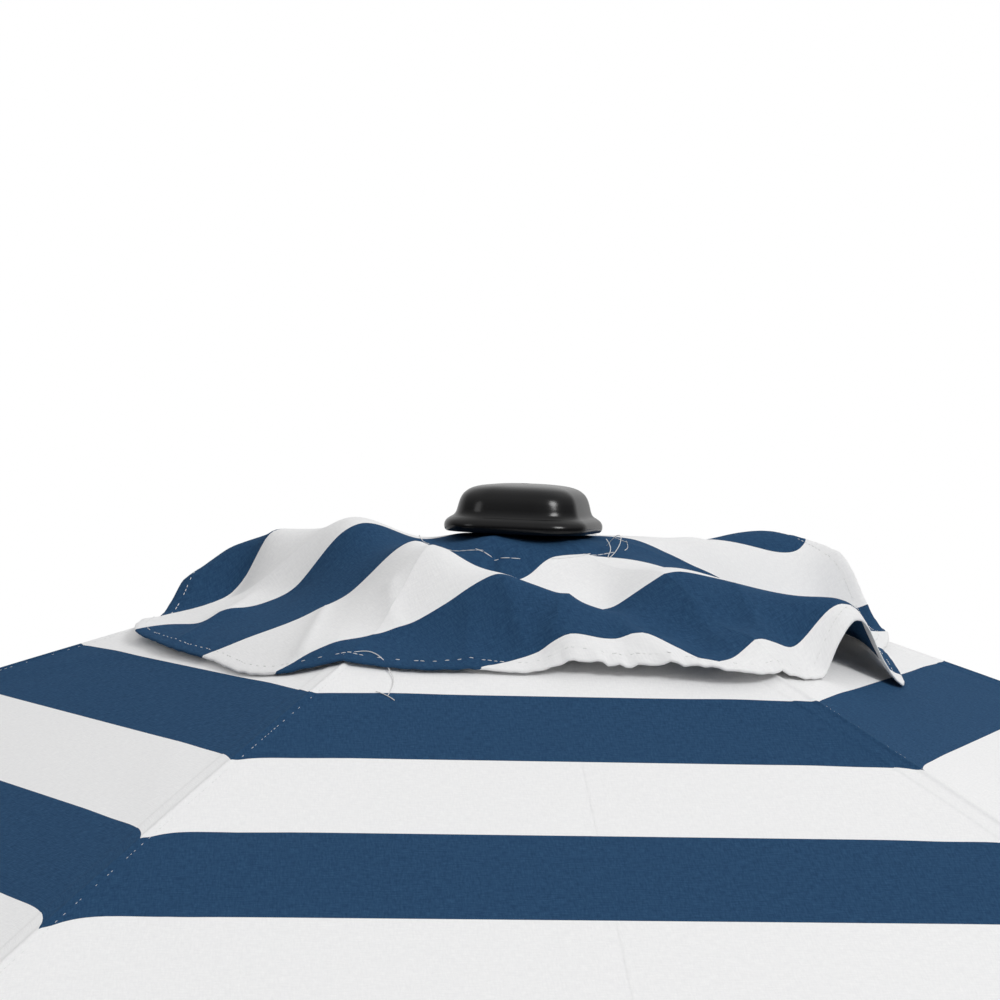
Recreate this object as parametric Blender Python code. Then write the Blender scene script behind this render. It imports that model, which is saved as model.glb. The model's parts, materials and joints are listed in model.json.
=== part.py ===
"""Six-rib beach umbrella with a vented canopy, a tilting, telescoping pole and a screw-in sand anchor.

Metres, +Z up. The origin is the centre of the anchor's blunt tip and +Z runs up the pole. One rib lies on +X
and the others follow every 60 degrees, so the middle of one gore faces -Y. Each rib carries the cloth on its
two sides, out to the middle of the gores, and the struts hang from the ribs. Hub pivot, strut pivot and
runner pivot make an isosceles triangle, so each strut turns back by twice the angle that its rib turns.
"""

import math

import bmesh
import bpy
from mathutils import Matrix, Vector

# Driving dimensions
RIB_COUNT = 6
GAP = 0.0003  # left between neighbours that touch on the real umbrella

APEX_Z = 2.400  # where the gores would meet if they ran on under the finial
ROOT_SLOPE = math.tan(math.radians(15.9))
RIB_BEND = 0.0562  # extra drop of a rib per square metre of radius
CLOTH = 0.0008
CANOPY_INNER_R = 0.170  # corner radius of the vent hole in the main canopy
CANOPY_OUTER_R = 1.066
VENT_INNER_R = 0.010
VENT_PLATEAU_R = 0.050
VENT_OUTER_R = 0.302
VENT_TOP_Z = APEX_Z - 0.0085
VENT_LIFT = 0.014  # height of the vent's rim over the main canopy

RIB_WIDTH = 0.007
RIB_HEIGHT = 0.010
RIB_BELOW_CLOTH = 0.0066  # from the cloth's middle down to the rib's centre line
RIB_END_R = 1.080
EYE_R = 0.0058
PIVOT_R = 0.036  # radius of the rib pivots in the crown and of the strut pivots in the runner

STRUT_R = 0.510  # radius of the strut bracket on the rib
STRUT_DROP = 0.014  # from the rib's centre line down to the bracket's pin
STRUT_WIDTH = 0.006
STRUT_EYE_R = 0.0052
BRACKET_PIN_R = 0.0020

POLE_R = 0.014
POLE_WALL = 0.0015
LOWER_POLE_R = 0.016
SOCKET_CLEARANCE = 0.0003

TILT_Z = 1.270
MIDDLE_POLE_FOOT_Z = 0.660
LOWER_POLE_FOOT_Z = 0.2903
LOWER_POLE_TOP_Z = 0.860
CLAMP_Z = 0.825
CLAMP_TOP_Z = 0.885
CLAMP_KNOB_Z = 0.873
ANCHOR_KNOB_Z = 0.350
HANDLE_PIVOT_X = 0.0335
HANDLE_PIVOT_Z = 0.270

FINIAL_TURN = math.radians(-22)
FINIAL_FOOT_Z = APEX_Z - 0.0071


def canopy_z(radius):
    """Height of the main canopy's cloth over a rib, at this distance from the pole's axis."""
    return APEX_Z - ROOT_SLOPE * radius - RIB_BEND * radius**2


def rib_z(radius):
    return canopy_z(radius) - RIB_BELOW_CLOTH


def rib_angle(radius):
    """The rib's slope below the horizontal, in radians."""
    return math.atan(ROOT_SLOPE + 2 * RIB_BEND * radius)


PIVOT_Z = rib_z(PIVOT_R)
STRUT_Z = rib_z(STRUT_R) - STRUT_DROP
RUNNER_Z = 2 * STRUT_Z - PIVOT_Z


# Making meshes and objects

MATERIALS = {
    "canopy cloth": ((0.028, 0.070, 0.140), 0.90, 0.0),
    "black plastic": ((0.015, 0.015, 0.017), 0.40, 0.0),
    "grey plastic": ((0.33, 0.34, 0.35), 0.50, 0.0),
    "anodised aluminium": ((0.75, 0.76, 0.78), 0.35, 1.0),
    "painted steel": ((0.80, 0.80, 0.79), 0.45, 0.0),
    "steel": ((0.55, 0.55, 0.56), 0.35, 1.0),
}


def material(name):
    found = bpy.data.materials.get(name)
    if found:
        return found
    colour, roughness, metallic = MATERIALS[name]
    made = bpy.data.materials.new(name)
    made.use_nodes = True
    shader = made.node_tree.nodes["Principled BSDF"]
    shader.inputs["Base Color"].default_value = (*colour, 1)
    shader.inputs["Roughness"].default_value = roughness
    shader.inputs["Metallic"].default_value = metallic
    made.diffuse_color = (*colour, 1)
    return made


def add(name, mesh, finish, parent, location=(0, 0, 0), turn=0.0):
    """One named piece, placed in its parent empty."""
    piece = bpy.data.objects.new(name, mesh)
    if not mesh.materials:
        mesh.materials.append(material(finish))
    bpy.context.scene.collection.objects.link(piece)
    piece.parent = parent
    piece.location = location
    piece.rotation_euler = (0, 0, turn)
    return piece


def pivot(name, location, parent=None, turn=0.0):
    """An empty on a joint's axis, which the moving pieces hang from."""
    empty = bpy.data.objects.new(name, None)
    bpy.context.scene.collection.objects.link(empty)
    empty.parent = parent
    empty.location = location
    empty.rotation_euler = (0, 0, turn)
    return empty


def finish_mesh(bm, name, smooth_angle=35):
    bmesh.ops.remove_doubles(bm, verts=bm.verts, dist=1e-6)
    bmesh.ops.recalc_face_normals(bm, faces=bm.faces)
    if bm.calc_volume(signed=True) < 0:
        bmesh.ops.reverse_faces(bm, faces=bm.faces)
    mesh = bpy.data.meshes.new(name)
    bm.to_mesh(mesh)
    bm.free()
    mesh.shade_smooth()
    mesh.set_sharp_from_angle(angle=math.radians(smooth_angle))
    return mesh


def loft(name, rings, closed=False):
    """A closed body through rings of as many points each; a ring of one point is a tip."""
    bm = bmesh.new()
    made = [[bm.verts.new(p) for p in ring] for ring in rings]
    pairs = list(zip(made, made[1:] + made[:1])) if closed else list(zip(made, made[1:]))
    for low, high in pairs:
        count = max(len(low), len(high))
        for i in range(count):
            j = (i + 1) % count
            corners = [low[i % len(low)], low[j % len(low)], high[j % len(high)], high[i % len(high)]]
            bm.faces.new(list(dict.fromkeys(corners)))
    if not closed:
        for end in (made[0], made[-1]):
            if len(end) > 2:
                bm.faces.new(end)
    return finish_mesh(bm, name)


def circle(radius, count, place):
    """place takes the two coordinates across the axis and gives the point."""
    step = math.tau / count
    return [place(radius * math.cos(i * step), radius * math.sin(i * step)) for i in range(count)]


AXES = {
    "X": lambda along: lambda a, b: (along, a, b),
    "Y": lambda along: lambda a, b: (a, along, b),
    "Z": lambda along: lambda a, b: (a, b, along),
}


def turned(name, profile, count=24, axis="Z", hollow=False):
    """profile holds (radius, distance along the axis). A hollow profile runs round and closes on itself."""
    rings = []
    for radius, along in profile:
        place = AXES[axis](along)
        rings.append(circle(radius, count, place) if radius > 0 else [place(0, 0)])
    return loft(name, rings, closed=hollow)


def tube(name, outer, inner, low, high, count=24):
    return turned(name, [(outer, low), (outer, high), (inner, high), (inner, low)], count, hollow=True)


def block(name, low, high):
    bm = bmesh.new()
    bmesh.ops.create_cube(bm, size=1)
    size = Vector(high) - Vector(low)
    middle = (Vector(high) + Vector(low)) / 2
    bm.transform(Matrix.Translation(middle) @ Matrix.Diagonal((*size, 1)))
    return finish_mesh(bm, name)


def prism(name, outline, half_width):
    """outline holds (x, z) points; the body runs from -half_width to +half_width along Y."""
    rings = [[(x, y, z) for x, z in outline] for y in (-half_width, half_width)]
    return loft(name, rings)


def arc(centre, radius, start, end, count):
    """Points on an arc in the XZ plane, from one angle to the other in degrees."""
    angles = [math.radians(start + (end - start) * i / (count - 1)) for i in range(count)]
    return [(centre[0] + radius * math.cos(a), centre[1] + radius * math.sin(a)) for a in angles]


def combine(piece, operation, mesh, turn=0.0):
    """Cuts a helper shape from the piece, or joins it on."""
    helper = bpy.data.objects.new(f"{piece.name} {operation.lower()} {len(piece.modifiers)}", mesh)
    bpy.context.scene.collection.objects.link(helper)
    helper.parent = piece
    helper.rotation_euler = (0, 0, turn)
    helper.hide_render = True
    helper.display_type = "WIRE"
    modifier = piece.modifiers.new(helper.name, "BOOLEAN")
    modifier.operation = operation
    modifier.solver = "EXACT"
    modifier.object = helper


def cut(piece, mesh, turn=0.0):
    combine(piece, "DIFFERENCE", mesh, turn)


def join(piece, mesh, turn=0.0):
    combine(piece, "UNION", mesh, turn)


def soften(piece, width, segments=1):
    bevel = piece.modifiers.new("edges", "BEVEL")
    bevel.width = width
    bevel.segments = segments
    bevel.limit_method = "ANGLE"
    bevel.angle_limit = math.radians(40)


for old in list(bpy.data.objects):
    bpy.data.objects.remove(old, do_unlink=True)

umbrella = pivot("umbrella", (0, 0, 0))


# Sand anchor: a moulded screw with a socket for the pole and two fold-out handles

AUGER_CORE = [
    (0.0050, 0.000), (0.0105, 0.030), (0.0120, 0.232), (0.0235, 0.262), (0.0235, 0.375),
    (LOWER_POLE_R + SOCKET_CLEARANCE, 0.375), (LOWER_POLE_R + SOCKET_CLEARANCE, 0.290), (0, 0.290),
]
FLIGHT_PITCH = 0.062
FLIGHT_TURNS = 3.25
FLIGHT_START_Z = 0.016
FLIGHT_R = 0.046
FLIGHT_STEPS_PER_TURN = 12
EAR_Y = 0.0118
EAR_GAP = 0.0083


def flight_mesh():
    """The helical blade. Its edge grows from the tip over the first turn and shrinks again at the top."""
    rings = []
    steps = round(FLIGHT_TURNS * FLIGHT_STEPS_PER_TURN)
    for i in range(steps + 1):
        turns = i / FLIGHT_STEPS_PER_TURN
        grow = min(1, 0.36 + 0.64 * turns, 0.42 + 1.6 * (FLIGHT_TURNS - turns))
        a = math.tau * turns
        z = FLIGHT_START_Z + FLIGHT_PITCH * turns
        inner, outer = 0.007, FLIGHT_R * grow
        section = [(inner, -0.0022), (outer, -0.0009), (outer, 0.0009), (inner, 0.0022)]
        rings.append([(r * math.cos(a), r * math.sin(a), z + dz) for r, dz in section])
    return loft("flight", rings)


auger = add("sand_auger", turned("auger core", AUGER_CORE, 20), "grey plastic", umbrella)
join(auger, flight_mesh())
join(auger, block("ears", (-0.0395, -EAR_Y, 0.256), (0.0395, EAR_Y, 0.284)))
join(auger, turned("knob boss", [(0, -0.018), (0.009, -0.018), (0.009, -0.030), (0, -0.030)], 14, "Y"))
auger.modifiers[-1].object.location = (0, 0, ANCHOR_KNOB_Z)
for side in (-1, 1):
    slot = sorted((side * 0.0250, side * 0.050))
    cut(auger, block("handle slot", (slot[0], -EAR_GAP, 0.250), (slot[1], EAR_GAP, 0.290)))
    cut(auger, turned("pin hole", [(0, -0.02), (0.0028, -0.02), (0.0028, 0.02), (0, 0.02)], 12, "Y"))
    auger.modifiers[-1].object.location = (side * HANDLE_PIVOT_X, 0, HANDLE_PIVOT_Z)
SOCKET_BORE_R = LOWER_POLE_R + SOCKET_CLEARANCE
cut(auger, turned("socket bore", [(0, 0.290), (SOCKET_BORE_R, 0.290), (SOCKET_BORE_R, 0.40), (0, 0.40)], 20))
KNOB_HOLE = turned("knob hole", [(0, -0.05), (0.0033, -0.05), (0.0033, -0.010), (0, -0.010)], 12, "Y")
cut(auger, KNOB_HOLE)
auger.modifiers[-1].object.location = (0, 0, ANCHOR_KNOB_Z)

HANDLE_OUTLINE = arc((0, 0), 0.0062, 200, 340, 7) + arc((0.0005, 0.108), 0.0070, 0, 180, 7)
HANDLE_PIN = [
    (0, -0.0137), (0.0040, -0.0137), (0.0040, -0.0121), (0.0025, -0.0121),
    (0.0025, 0.0121), (0.0040, 0.0121), (0.0040, 0.0137), (0, 0.0137),
]
for side_name, side in (("left", -1), ("right", 1)):
    hinge = pivot(f"handle_{side_name} pivot", (side * HANDLE_PIVOT_X, 0, HANDLE_PIVOT_Z), umbrella)
    outline = [(side * x, z) for x, z in HANDLE_OUTLINE]
    handle = add(f"handle_{side_name}", prism("handle", outline, EAR_GAP - GAP), "grey plastic", hinge)
    soften(handle, 0.0012)
    cut(handle, turned("pin hole", [(0, -0.02), (0.0028, -0.02), (0.0028, 0.02), (0, 0.02)], 12, "Y"))
    place = (side * HANDLE_PIVOT_X, 0, HANDLE_PIVOT_Z)
    add(f"handle_pin_{side_name}", turned("handle pin", HANDLE_PIN, 12, "Y"), "steel", umbrella, place)


# Knobs: a five-lobed head on a threaded stud. They clamp the pole in the anchor and hold its length

KNOB_LOBES = 5


def knob_mesh(tip_y):
    """A knob that screws in along +Y, with the stud's end at tip_y."""
    back, front, points = -0.0330, -0.0465, 30
    rings = [
        circle(0.0030, points, AXES["Y"](tip_y)),
        circle(0.0030, points, AXES["Y"](back + 0.0025)),
        circle(0.0075, points, AXES["Y"](back + 0.0025)),
        circle(0.0085, points, AXES["Y"](back)),
    ]
    for y, radius in ((back, 0.0135), (back - 0.0015, 0.0150), (front + 0.0020, 0.0145), (front, 0.0122)):
        ring = []
        for i in range(points):
            a = math.tau * i / points
            lobed = radius + 0.0016 * math.cos(KNOB_LOBES * a)
            ring.append((lobed * math.cos(a), y, lobed * math.sin(a)))
        rings.append(ring)
    return loft("knob", rings)


clamp_knob_pivot = pivot("clamp_knob pivot", (0, 0, CLAMP_KNOB_Z), umbrella)
add("clamp_knob", knob_mesh(-POLE_R - GAP), "black plastic", clamp_knob_pivot)
anchor_knob_pivot = pivot("anchor_knob pivot", (0, 0, ANCHOR_KNOB_Z), umbrella)
add("anchor_knob", knob_mesh(-LOWER_POLE_R - GAP), "black plastic", anchor_knob_pivot)


# Lower pole and the clamp on its top

LOWER_BORE_R = LOWER_POLE_R - POLE_WALL
lower_pole = tube("lower pole", LOWER_POLE_R, LOWER_BORE_R, LOWER_POLE_FOOT_Z, LOWER_POLE_TOP_Z)
add("lower_pole", lower_pole, "anodised aluminium", umbrella)

CLAMP_PROFILE = [
    (SOCKET_BORE_R, CLAMP_Z), (0.0215, CLAMP_Z), (0.0235, CLAMP_Z + 0.004), (0.0235, CLAMP_TOP_Z - 0.004),
    (0.0205, CLAMP_TOP_Z), (POLE_R + GAP, CLAMP_TOP_Z), (POLE_R + GAP, LOWER_POLE_TOP_Z + GAP),
    (SOCKET_BORE_R, LOWER_POLE_TOP_Z + GAP),
]
clamp = add("height_clamp", turned("clamp", CLAMP_PROFILE, 20, hollow=True), "black plastic", umbrella)
boss = turned("clamp boss", [(0, -0.016), (0.009, -0.016), (0.009, -0.030), (0, -0.030)], 14, "Y")
join(clamp, boss)
clamp.modifiers[-1].object.location = (0, 0, CLAMP_KNOB_Z)
cut(clamp, turned("clamp bore", [(0, 0.8), (POLE_R + GAP, 0.8), (POLE_R + GAP, 0.9), (0, 0.9)], 20))
cut(clamp, KNOB_HOLE)
clamp.modifiers[-1].object.location = (0, 0, CLAMP_KNOB_Z)


# Middle pole, which slides in the lower one and carries the tilt joint's fork

extension = pivot("extension", (0, 0, CLAMP_TOP_Z), umbrella)
TILT_LOCAL_Z = TILT_Z - CLAMP_TOP_Z
SEAT_BELOW_TILT = 0.030
middle_foot = MIDDLE_POLE_FOOT_Z - CLAMP_TOP_Z
middle_top = TILT_LOCAL_Z - SEAT_BELOW_TILT - GAP
middle_pole = tube("middle pole", POLE_R, POLE_R - POLE_WALL, middle_foot, middle_top)
add("middle_pole", middle_pole, "anodised aluminium", extension)
BUSHING_PROFILE = [
    (0, middle_foot + 0.015), (0.0110, middle_foot + 0.015), (0.0122, middle_foot + 0.013),
    (0.0122, middle_foot - GAP), (0.0142, middle_foot - GAP), (0.0142, middle_foot - 0.007),
    (0.0132, middle_foot - 0.0083), (0, middle_foot - 0.0083),
]
add("pole_bushing", turned("pole bushing", BUSHING_PROFILE, 18), "black plastic", extension)

BUTTON_Z = -0.0230
FORK_X = 0.0155
FORK_GAP = 0.0085
FORK_R = 0.0140
TILT_PIN_R = 0.0030
KNUCKLE_R = 0.0210


def along_x(name, radius, half_length, count=14):
    return turned(name, [(0, -half_length), (radius, -half_length), (radius, half_length), (0, half_length)],
                  count, "X")


SOCKET_PROFILE = [
    (0, -0.016), (KNUCKLE_R, -0.016), (KNUCKLE_R, -0.052), (0.0185, -0.056), (POLE_R + GAP, -0.056),
    (POLE_R + GAP, -SEAT_BELOW_TILT), (0, -SEAT_BELOW_TILT),
]
tilt_socket = add("tilt_socket", turned("tilt socket", SOCKET_PROFILE, 20), "black plastic", extension,
                  (0, 0, TILT_LOCAL_Z))
join(tilt_socket, block("fork", (-FORK_X, -FORK_R, -0.018), (FORK_X, FORK_R, 0)))
join(tilt_socket, along_x("fork eye", FORK_R, FORK_X, 20))
cut(tilt_socket, block("fork gap", (-FORK_GAP, -0.03, -0.0155), (FORK_GAP, 0.03, 0.03)))
cut(tilt_socket, along_x("tilt pin hole", TILT_PIN_R + GAP, 0.03))
BUTTON_POCKET = turned("button pocket", [(0, -0.03), (0.0052, -0.03), (0.0052, -0.008), (0, -0.008)], 14, "Y")
cut(tilt_socket, BUTTON_POCKET)
tilt_socket.modifiers[-1].object.location = (0, 0, BUTTON_Z)

TILT_PIN = [
    (0, -0.0180), (0.0038, -0.0180), (0.0050, -0.0172), (0.0050, -FORK_X - GAP), (TILT_PIN_R, -FORK_X - GAP),
    (TILT_PIN_R, FORK_X + GAP), (0.0050, FORK_X + GAP), (0.0050, 0.0172), (0.0038, 0.0180), (0, 0.0180),
]
add("tilt_pin", turned("tilt pin", TILT_PIN, 14, "X"), "steel", extension, (0, 0, TILT_LOCAL_Z))

button_pivot = pivot("tilt_button pivot", (0, 0, TILT_LOCAL_Z + BUTTON_Z), extension)
BUTTON_PROFILE = [(0, -0.0150), (0.0048, -0.0150), (0.0048, -0.0238), (0.0040, -0.0246), (0, -0.0250)]
add("tilt_button", turned("tilt button", BUTTON_PROFILE, 14, "Y"), "grey plastic", button_pivot)


def spring_mesh(radius, wire, start, end, turns, steps_per_turn=10, sides=4):
    """A coil along Y, with its last half turn at each end lying flat."""
    rings = []
    steps = turns * steps_per_turn
    for i in range(steps + 1):
        a = math.tau * i / steps_per_turn
        y = start + (end - start) * i / steps
        outward = Vector((math.cos(a), 0, math.sin(a)))
        middle = radius * outward + Vector((0, y, 0))
        rings.append([tuple(middle + wire * (c * outward + s * Vector((0, 1, 0))))
                      for c, s in [(math.cos(math.tau * k / sides), math.sin(math.tau * k / sides))
                                   for k in range(sides)]])
    return loft("spring", rings)


BUTTON_SPRING = spring_mesh(radius=0.0036, wire=0.0005, start=-0.0142, end=-0.0088, turns=4)
add("button_spring", BUTTON_SPRING, "steel", extension, (0, 0, TILT_LOCAL_Z + BUTTON_Z))


# Upper pole, which tilts on the fork's pin

tilt = pivot("tilt", (0, 0, TILT_LOCAL_Z), extension)
YOKE_SEAT = 0.026
YOKE_TOP = 0.060
YOKE_PROFILE = [
    (0, 0.018), (0.0185, 0.018), (KNUCKLE_R, 0.021), (KNUCKLE_R, YOKE_TOP - 0.004), (0.0185, YOKE_TOP),
    (POLE_R + GAP, YOKE_TOP), (POLE_R + GAP, YOKE_SEAT), (0, YOKE_SEAT),
]
yoke = add("tilt_yoke", turned("tilt yoke", YOKE_PROFILE, 20), "black plastic", tilt)
join(yoke, block("tongue", (-FORK_GAP + GAP, -0.0115, 0), (FORK_GAP - GAP, 0.0115, 0.022)))
join(yoke, along_x("tongue eye", 0.0130, FORK_GAP - GAP, 20))
cut(yoke, along_x("tongue hole", TILT_PIN_R + GAP, 0.03))

CATCH_R = 0.0040
RUNNER_FOOT = -0.045
CATCH_Z = RUNNER_Z - TILT_Z + RUNNER_FOOT - CATCH_R - 0.001
POLE_TOP_BELOW_PIVOT = 0.0063
upper_top = PIVOT_Z - POLE_TOP_BELOW_PIVOT - TILT_Z
upper_pole = add("upper_pole", tube("upper pole", POLE_R, POLE_R - POLE_WALL, YOKE_SEAT + GAP, upper_top),
                 "anodised aluminium", tilt)
CATCH_HOLE = turned("catch hole", [(0, -0.03), (CATCH_R + GAP, -0.03), (CATCH_R + GAP, -0.002), (0, -0.002)],
                    14, "Y")
cut(upper_pole, CATCH_HOLE)
upper_pole.modifiers[-1].object.location = (0, 0, CATCH_Z)

catch_pivot = pivot("runner_catch pivot", (0, 0, CATCH_Z), tilt)
CATCH_PROFILE = [
    (0, -0.0085), (0.0052, -0.0085), (0.0052, -0.0105), (CATCH_R, -0.0105), (CATCH_R, -0.0165),
    (0.0030, -0.0175), (0, -0.0178),
]
add("runner_catch", turned("runner catch", CATCH_PROFILE, 14, "Y"), "steel", catch_pivot)


# Runner: slides on the upper pole. Its flange has a slot as high as itself for each strut

SLOT_INNER = 0.0285
SLOT_HALF = 0.0040
RUNNER_R = 0.046
RUNNER_BORE_R = 0.0146
RUNNER_PROFILE = [
    (RUNNER_BORE_R, RUNNER_FOOT), (0.0225, RUNNER_FOOT), (0.0255, RUNNER_FOOT + 0.003),
    (0.0215, RUNNER_FOOT + 0.008), (0.0205, -0.016), (0.0265, -0.010), (0.0445, -0.010),
    (RUNNER_R, -0.0085), (RUNNER_R, 0.0085), (0.0445, 0.010), (0.0240, 0.010), (0.0205, 0.016),
    (RUNNER_BORE_R, 0.016),
]
runner_pivot = pivot("runner pivot", (0, 0, RUNNER_Z - TILT_Z), tilt)
runner = add("runner", turned("runner body", RUNNER_PROFILE, 24, hollow=True), "black plastic", runner_pivot)
STRUT_PIN_R = 0.0020
STRUT_PIN_HALF = 0.0055
slot_mesh = block("strut slot", (SLOT_INNER, -SLOT_HALF, -0.03), (0.06, SLOT_HALF, 0.03))
channel_reach = STRUT_PIN_R + 0.0008
channel_mesh = block("pin channel", (PIVOT_R - channel_reach, -STRUT_PIN_HALF - 0.0006, -0.03),
                     (PIVOT_R + channel_reach, STRUT_PIN_HALF + 0.0006, 0.03))
for k in range(RIB_COUNT):
    turn = math.tau * k / RIB_COUNT
    cut(runner, slot_mesh, turn)
    cut(runner, channel_mesh, turn)
cut(runner, block("catch keyway", (-0.0048, -0.0186, -0.06), (0.0048, 0, 0.06)))


# Crown: the slotted hub on top of the pole, and the wire ring that the ribs turn on

CROWN_TOP = 0.0042
RING_WIRE_R = 0.0015
RING_CLEARANCE = 0.0004
CROWN_PROFILE = [
    (0.0033, CROWN_TOP), (0.0440, CROWN_TOP), (RUNNER_R, CROWN_TOP - 0.0016), (RUNNER_R, -0.0080),
    (0.0445, -0.0095), (0.0250, -0.0095), (0.0215, -0.0140), (0.0205, -0.0500), (POLE_R + GAP, -0.0500),
    (POLE_R + GAP, -POLE_TOP_BELOW_PIVOT + GAP), (0.0033, -POLE_TOP_BELOW_PIVOT + GAP),
]


def ring_mesh(wire, count=8):
    """A wire bent to a hexagon, so that it runs straight through each rib's eye."""
    spread = 1 / math.cos(math.pi / RIB_COUNT)
    rings = []
    for k in range(RIB_COUNT):
        a = math.tau * (k + 0.5) / RIB_COUNT
        ring = []
        for i in range(count):
            b = math.tau * i / count
            r = (PIVOT_R + wire * math.cos(b)) * spread
            ring.append((r * math.cos(a), r * math.sin(a), wire * math.sin(b)))
        rings.append(ring)
    return loft("ring", rings, closed=True)


crown_z = PIVOT_Z - TILT_Z
crown = add("crown_hub", turned("crown body", CROWN_PROFILE, 24, hollow=True), "black plastic", tilt,
            (0, 0, crown_z))
for k in range(RIB_COUNT):
    cut(crown, slot_mesh, math.tau * k / RIB_COUNT)
cut(crown, ring_mesh(RING_WIRE_R + RING_CLEARANCE))
add("crown_ring", ring_mesh(RING_WIRE_R), "steel", tilt, (0, 0, crown_z))


# Finial: a hollow moulded cap on a wide stepped flange, screwed down over the vent's centre

FINIAL_HEIGHT = 0.0380
FINIAL_FLANGE = 0.0555  # half the side of the square
FINIAL_BODY = 0.0465
FINIAL_WALL = 0.0025
CORNER_SHARE = 0.47  # corner radius over half the side


def rounded_square(half_side, z, per_corner=5):
    radius = CORNER_SHARE * half_side
    points = []
    for corner in range(4):
        for i in range(per_corner):
            a = math.pi / 2 * (corner + i / (per_corner - 1))
            centre = half_side - radius
            sx = 1 if corner in (0, 3) else -1
            sy = 1 if corner in (0, 1) else -1
            points.append((sx * centre + radius * math.cos(a), sy * centre + radius * math.sin(a), z))
    return points


FINIAL_OUTSIDE = [
    (FINIAL_FLANGE - 0.0015, 0), (FINIAL_FLANGE, 0.0015), (FINIAL_FLANGE, 0.0065),
    (FINIAL_FLANGE - 0.0020, 0.0100), (FINIAL_BODY + 0.0030, 0.0125), (FINIAL_BODY, 0.0160),
    (FINIAL_BODY - 0.0005, 0.0230), (FINIAL_BODY - 0.0035, 0.0300), (FINIAL_BODY - 0.0095, 0.0345),
    (FINIAL_BODY - 0.0200, 0.0370), (FINIAL_BODY - 0.0360, FINIAL_HEIGHT),
]
FINIAL_INSIDE = [
    (FINIAL_FLANGE - FINIAL_WALL, -0.001), (FINIAL_FLANGE - FINIAL_WALL, 0.0060),
    (FINIAL_BODY - FINIAL_WALL, 0.0120), (FINIAL_BODY - 0.0055, 0.0270), (FINIAL_BODY - 0.0180, 0.0335),
]
FINIAL_Z = FINIAL_FOOT_Z - TILT_Z
finial_mesh = loft("finial cap", [rounded_square(half, z) for half, z in FINIAL_OUTSIDE])
finial = add("finial", finial_mesh, "black plastic", tilt, (0, 0, FINIAL_Z), FINIAL_TURN)
cut(finial, loft("finial hollow", [rounded_square(half, z) for half, z in FINIAL_INSIDE]))
join(finial, turned("finial boss", [(0, 0.0005), (0.0070, 0.0005), (0.0070, 0.0350), (0, 0.0350)], 12))
cut(finial, turned("finial hole", [(0, -0.005), (0.0033, -0.005), (0.0033, 0.0240), (0, 0.0240)], 12))

SCREW_HEAD_Z = -POLE_TOP_BELOW_PIVOT
finial_screw_top = FINIAL_FOOT_Z - PIVOT_Z + 0.0230
SCREW_PROFILE = [
    (0, SCREW_HEAD_Z - 0.0040), (0.0050, SCREW_HEAD_Z - 0.0040), (0.0055, SCREW_HEAD_Z - 0.0032),
    (0.0055, SCREW_HEAD_Z), (0.0030, SCREW_HEAD_Z), (0.0030, finial_screw_top), (0, finial_screw_top),
]
add("finial_screw", turned("finial screw", SCREW_PROFILE, 12), "steel", tilt, (0, 0, crown_z))


# Ribs with their tips, strut brackets, struts and cloth, one set for each rib

RIB_STATIONS = 8


def stations(start, end, count):
    return [start + (end - start) * i / (count - 1) for i in range(count)]


def rib_outline():
    """Side view of a rib about its pivot: a round eye, then the bent bar."""
    root = math.degrees(-rib_angle(PIVOT_R))
    points = arc((0, 0), EYE_R, root + 62, root + 298, 9)
    for half, order in ((-RIB_HEIGHT / 2, 1), (RIB_HEIGHT / 2, -1)):
        for radius in stations(PIVOT_R + 0.008, RIB_END_R, RIB_STATIONS)[::order]:
            a = rib_angle(radius)
            x = radius - PIVOT_R + half * math.sin(a)
            points.append((x, rib_z(radius) - PIVOT_Z + half * math.cos(a)))
    return points


def wedge_mesh(name, radii, height):
    """Cloth on both sides of a rib, out to the gores' middle lines: flat across, with a ridge on the rib."""
    lean = math.pi / RIB_COUNT
    rows = []
    for radius in radii:
        x, y = radius * math.cos(lean) ** 2, radius * math.cos(lean) * math.sin(lean) - GAP / 2
        rows.append([(x, -y), (radius, 0), (x, y)])
    rings = []
    for row, radius in zip(rows, radii):
        top = [(x - PIVOT_R, y, height(radius) + CLOTH / 2 - PIVOT_Z) for x, y in row]
        under = [(x, y, z - CLOTH) for x, y, z in reversed(top)]
        rings.append(top + under)
    return loft(name, rings)


def vent_height(radius):
    if radius <= VENT_PLATEAU_R:
        return VENT_TOP_Z
    rim = canopy_z(VENT_OUTER_R) + VENT_LIFT
    share = (radius - VENT_PLATEAU_R) / (VENT_OUTER_R - VENT_PLATEAU_R)
    return VENT_TOP_Z + (rim - VENT_TOP_Z) * share


STRUT_DX = STRUT_R - PIVOT_R
STRUT_DZ = STRUT_Z - PIVOT_Z
rib_mesh = prism("rib", rib_outline(), RIB_WIDTH / 2)
eye_hole = turned("eye hole", [(0, -0.02), (0.0020, -0.02), (0.0020, 0.02), (0, 0.02)], 10, "Y")

strut_dir = math.degrees(math.atan2(STRUT_DZ, -STRUT_DX))
far_eye = (-STRUT_DX, STRUT_DZ)
strut_outline = arc((0, 0), STRUT_EYE_R, strut_dir - 310, strut_dir - 50, 8)
strut_outline += arc(far_eye, STRUT_EYE_R, strut_dir - 130, strut_dir + 130, 8)
strut_mesh = prism("strut", strut_outline, STRUT_WIDTH / 2)
bracket_hole = turned("bracket hole", [(0, -0.02), (BRACKET_PIN_R + 0.0002, -0.02),
                                       (BRACKET_PIN_R + 0.0002, 0.02), (0, 0.02)], 10, "Y")
strut_pin = turned("strut pin", [(0, -STRUT_PIN_HALF), (STRUT_PIN_R, -STRUT_PIN_HALF),
                                 (STRUT_PIN_R, STRUT_PIN_HALF), (0, STRUT_PIN_HALF)], 10, "Y")

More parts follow.
